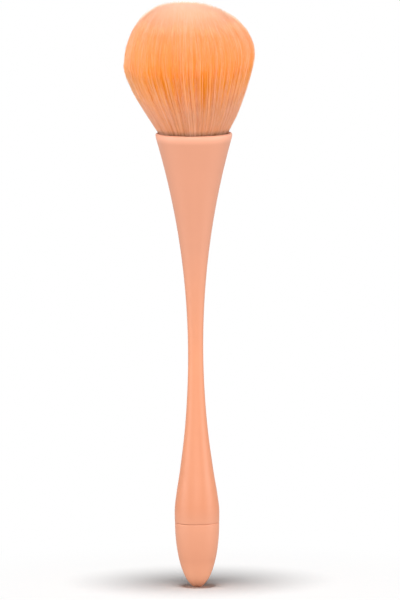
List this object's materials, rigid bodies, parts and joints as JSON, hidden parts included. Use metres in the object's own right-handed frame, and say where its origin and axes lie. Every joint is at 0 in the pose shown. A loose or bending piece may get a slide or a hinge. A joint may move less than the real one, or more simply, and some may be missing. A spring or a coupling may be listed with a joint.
{
  "type": "nail dust brush",
  "caption": "Soft domed bristle tuft in a goblet-shaped plastic handle with a slim waist, a teardrop tail and a separate tail cap.",
  "frame": {"origin": "middle of the small flat on the tail's tip", "axes": "+Z along the handle's axis towards the bristles, -Y towards the picture's camera, +X to the right in the picture"},
  "size_m": [0.038, 0.0376, 0.172],
  "materials": {
    "bristles": "fine soft fibre",
    "handle_plastic": "satin",
    "cap_plastic": "satin",
    "root_resin": "cast",
    "ferrule_plastic": "moulded",
    "glue": "cured"
  },
  "bodies": {
    "root": {"bristle_knot": "bristles", "handle_shell": "handle_plastic", "tail_cap": "cap_plastic", "root_plug": "root_resin", "knot_ferrule": "ferrule_plastic", "glue_bed": "glue"}
  },
  "joints": []
}
